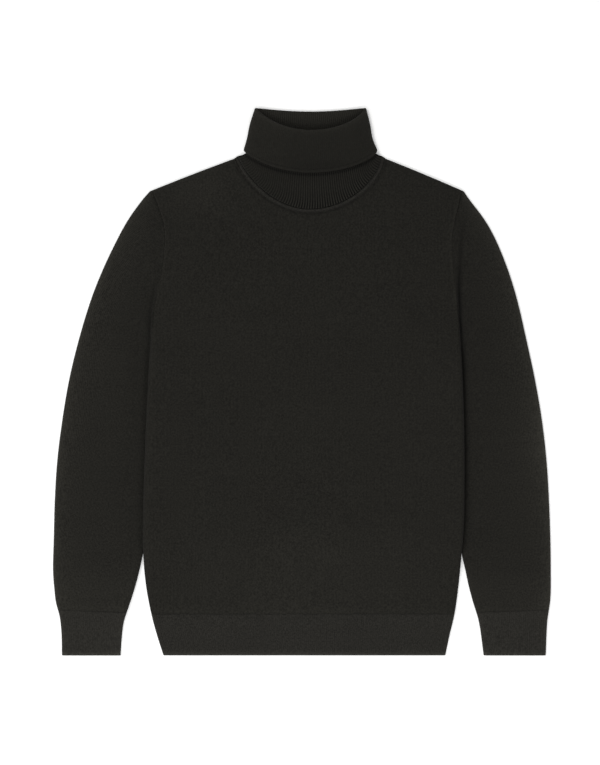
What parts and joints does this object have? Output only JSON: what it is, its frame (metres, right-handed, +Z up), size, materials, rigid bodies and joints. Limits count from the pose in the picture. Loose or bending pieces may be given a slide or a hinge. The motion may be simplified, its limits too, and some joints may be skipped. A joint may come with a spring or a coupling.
{
  "type": "turtleneck sweater",
  "caption": "Fine-gauge knitted turtleneck sweater lying flat, collar folded down once, set-in sleeves straight beside the body, rib bands at hem and cuffs.",
  "frame": {"origin": "on the surface the sweater lies on, under the centre of its bounding box", "axes": "+X across the sweater towards the wearer's left sleeve, +Y from the hem to the collar, +Z up, out of the front panel"},
  "size_m": [0.696, 0.7649, 0.0143],
  "materials": {
    "plain_knit": "matt warm-black fine-gauge wool jersey, faint soft sheen from the nap",
    "rib_knit": "matt warm-black fine wool rib, slightly lighter where the ribs catch the light"
  },
  "bodies": {
    "root": {"front": "plain_knit", "back": "plain_knit", "sleeve_right": "plain_knit", "sleeve_left": "plain_knit", "hem_rib_front": "rib_knit", "hem_rib_back": "rib_knit", "cuff_right": "rib_knit", "cuff_left": "rib_knit", "collar": "rib_knit", "neck_seam": "rib_knit"}
  },
  "joints": []
}
